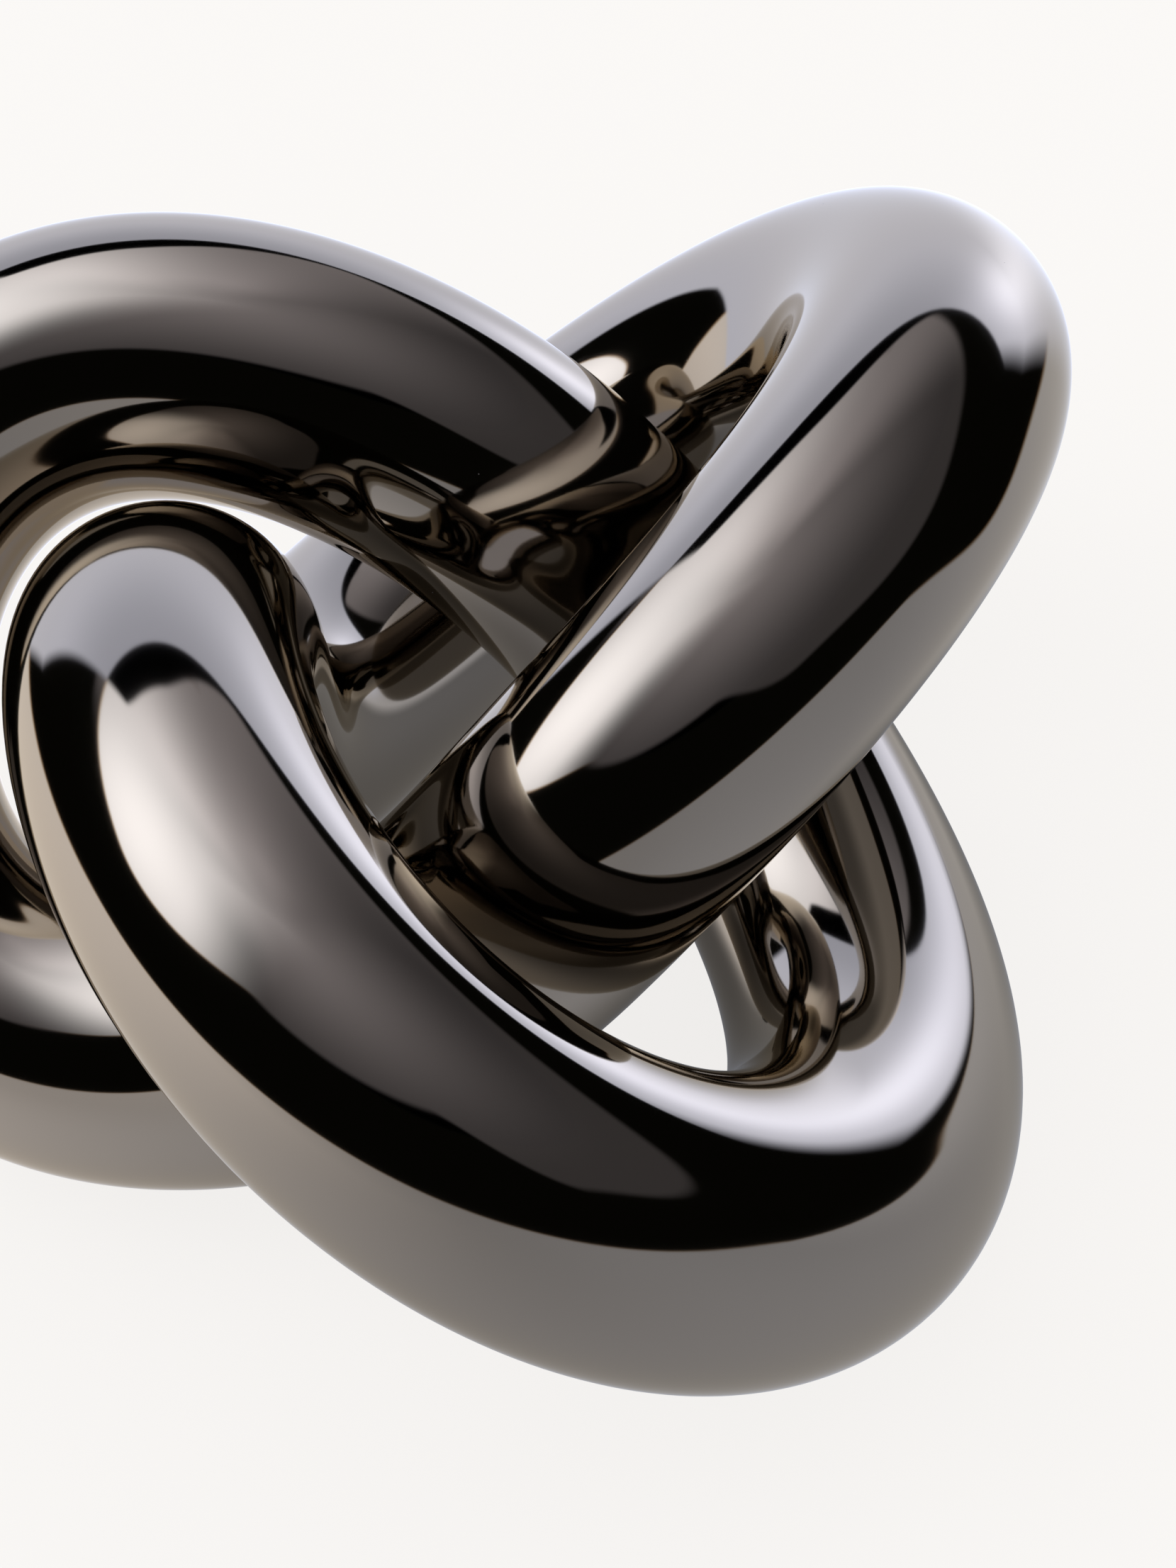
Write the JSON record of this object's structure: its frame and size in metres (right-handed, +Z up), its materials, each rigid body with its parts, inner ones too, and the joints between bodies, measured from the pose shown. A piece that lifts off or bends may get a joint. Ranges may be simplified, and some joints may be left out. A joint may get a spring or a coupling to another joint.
{
  "type": "knot sculpture",
  "caption": "Closed three-lobed knot of thick round tube with a dark mirror finish, which lies flat on small rubber feet.",
  "frame": {"origin": "on the surface that the sculpture lies on, under the middle of the knot", "axes": "+Z up, -X towards the tip of the lone left lobe, -Y towards the front, and the knot is widest along Y"},
  "size_m": [0.2348, 0.2599, 0.1327],
  "materials": {
    "black_nickel_casting": "cast aluminium, polished to a mirror and plated with dark warm black nickel",
    "bare_ring": "bare extruded aluminium, as cut",
    "foot_rubber": "matt moulded rubber"
  },
  "bodies": {
    "root": {"left_lobe": "black_nickel_casting", "rear_upper_arm": "black_nickel_casting", "rear_lower_arm": "black_nickel_casting", "front_lobe": "black_nickel_casting", "left_upper_arm": "black_nickel_casting", "left_lower_arm": "black_nickel_casting", "rear_lobe": "black_nickel_casting", "front_upper_arm": "black_nickel_casting", "front_lower_arm": "black_nickel_casting", "left_lobe_lower_ring": "bare_ring", "left_lobe_upper_ring": "bare_ring", "rear_arms_ring": "bare_ring", "front_lobe_lower_ring": "bare_ring", "front_lobe_upper_ring": "bare_ring", "left_arms_ring": "bare_ring", "rear_lobe_lower_ring": "bare_ring", "rear_lobe_upper_ring": "bare_ring", "front_arms_ring": "bare_ring", "right_foot": "foot_rubber", "rear_foot": "foot_rubber", "front_foot": "foot_rubber"}
  },
  "joints": []
}
